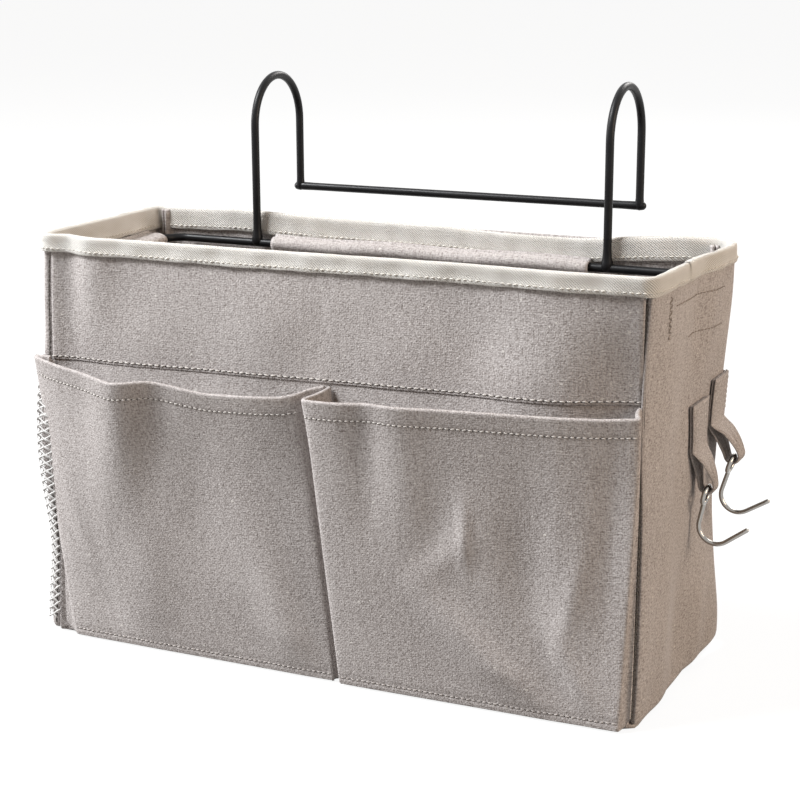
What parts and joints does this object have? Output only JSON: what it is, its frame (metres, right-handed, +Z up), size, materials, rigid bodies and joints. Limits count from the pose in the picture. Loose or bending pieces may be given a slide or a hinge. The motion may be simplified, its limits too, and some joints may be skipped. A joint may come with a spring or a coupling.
{
  "type": "bedside caddy",
  "caption": "Soft canvas bedside caddy with front pockets, a net side pocket and key hooks on strap tabs, hung over a bed rail by a bent wire frame held in sleeves.",
  "frame": {"origin": "middle of the underside of the bottom panel", "axes": "+X to the right as seen from the front, along the long side; +Y to the back, towards the bed rail; +Z up"},
  "size_m": [0.3783, 0.196, 0.2962],
  "materials": {
    "canvas": "grey-taupe slubby cotton and linen canvas, matt",
    "binding_tape": "cream twill tape with diagonal ribs, matt",
    "netting": "white knitted net with open diamonds",
    "board": "plain stiff board covered in dark cloth",
    "black_wire": "black powder coat over steel wire, satin",
    "nickel_wire": "bright nickel-plated wire"
  },
  "bodies": {
    "caddy": {"bottom_panel": "canvas", "base_board": "board", "front_yoke": "canvas", "front_lower_panel": "canvas", "back_panel": "canvas", "right_side_panel": "canvas", "left_side_panel": "canvas", "rim_binding": "binding_tape", "left_front_pocket": "canvas", "right_front_pocket": "canvas", "net_panel": "netting", "net_front_wedge": "netting", "net_rear_wedge": "netting", "net_mouth_band": "canvas", "rim_wire": "black_wire", "back_sleeve": "canvas", "right_sleeve": "canvas", "left_sleeve": "canvas", "left_rail_hook": "black_wire", "right_rail_hook": "black_wire", "cross_bar": "black_wire", "front_tab_anchor": "canvas", "rear_tab_anchor": "canvas"},
    "front_tab": {"front_tab_loop": "canvas"},
    "rear_tab": {"rear_tab_loop": "canvas"},
    "front_hook": {"front_hook": "nickel_wire"},
    "rear_hook": {"rear_hook": "nickel_wire"}
  },
  "joints": [
    {"name": "front_tab_flex", "type": "hinge", "parent": "caddy", "child": "front_tab", "pos_m": [0.1696, 0.013, 0.1214], "axis": [0, -1, 0], "range_deg": [0, 50], "stiffness_Nm_per_rad": 0.05},
    {"name": "rear_tab_flex", "type": "hinge", "parent": "caddy", "child": "rear_tab", "pos_m": [0.1696, 0.047, 0.1274], "axis": [0, -1, 0], "range_deg": [-2, 45], "stiffness_Nm_per_rad": 0.05},
    {"name": "front_hook_swing", "type": "hinge", "parent": "front_tab", "child": "front_hook", "pos_m": [0.17559, 0.013, 0.10177], "axis": [0, -1, 0], "range_deg": [0, 60]},
    {"name": "rear_hook_swing", "type": "hinge", "parent": "rear_tab", "child": "rear_hook", "pos_m": [0.17954, 0.047, 0.10945], "axis": [0, -1, 0], "range_deg": [-4, 60]}
  ]
}
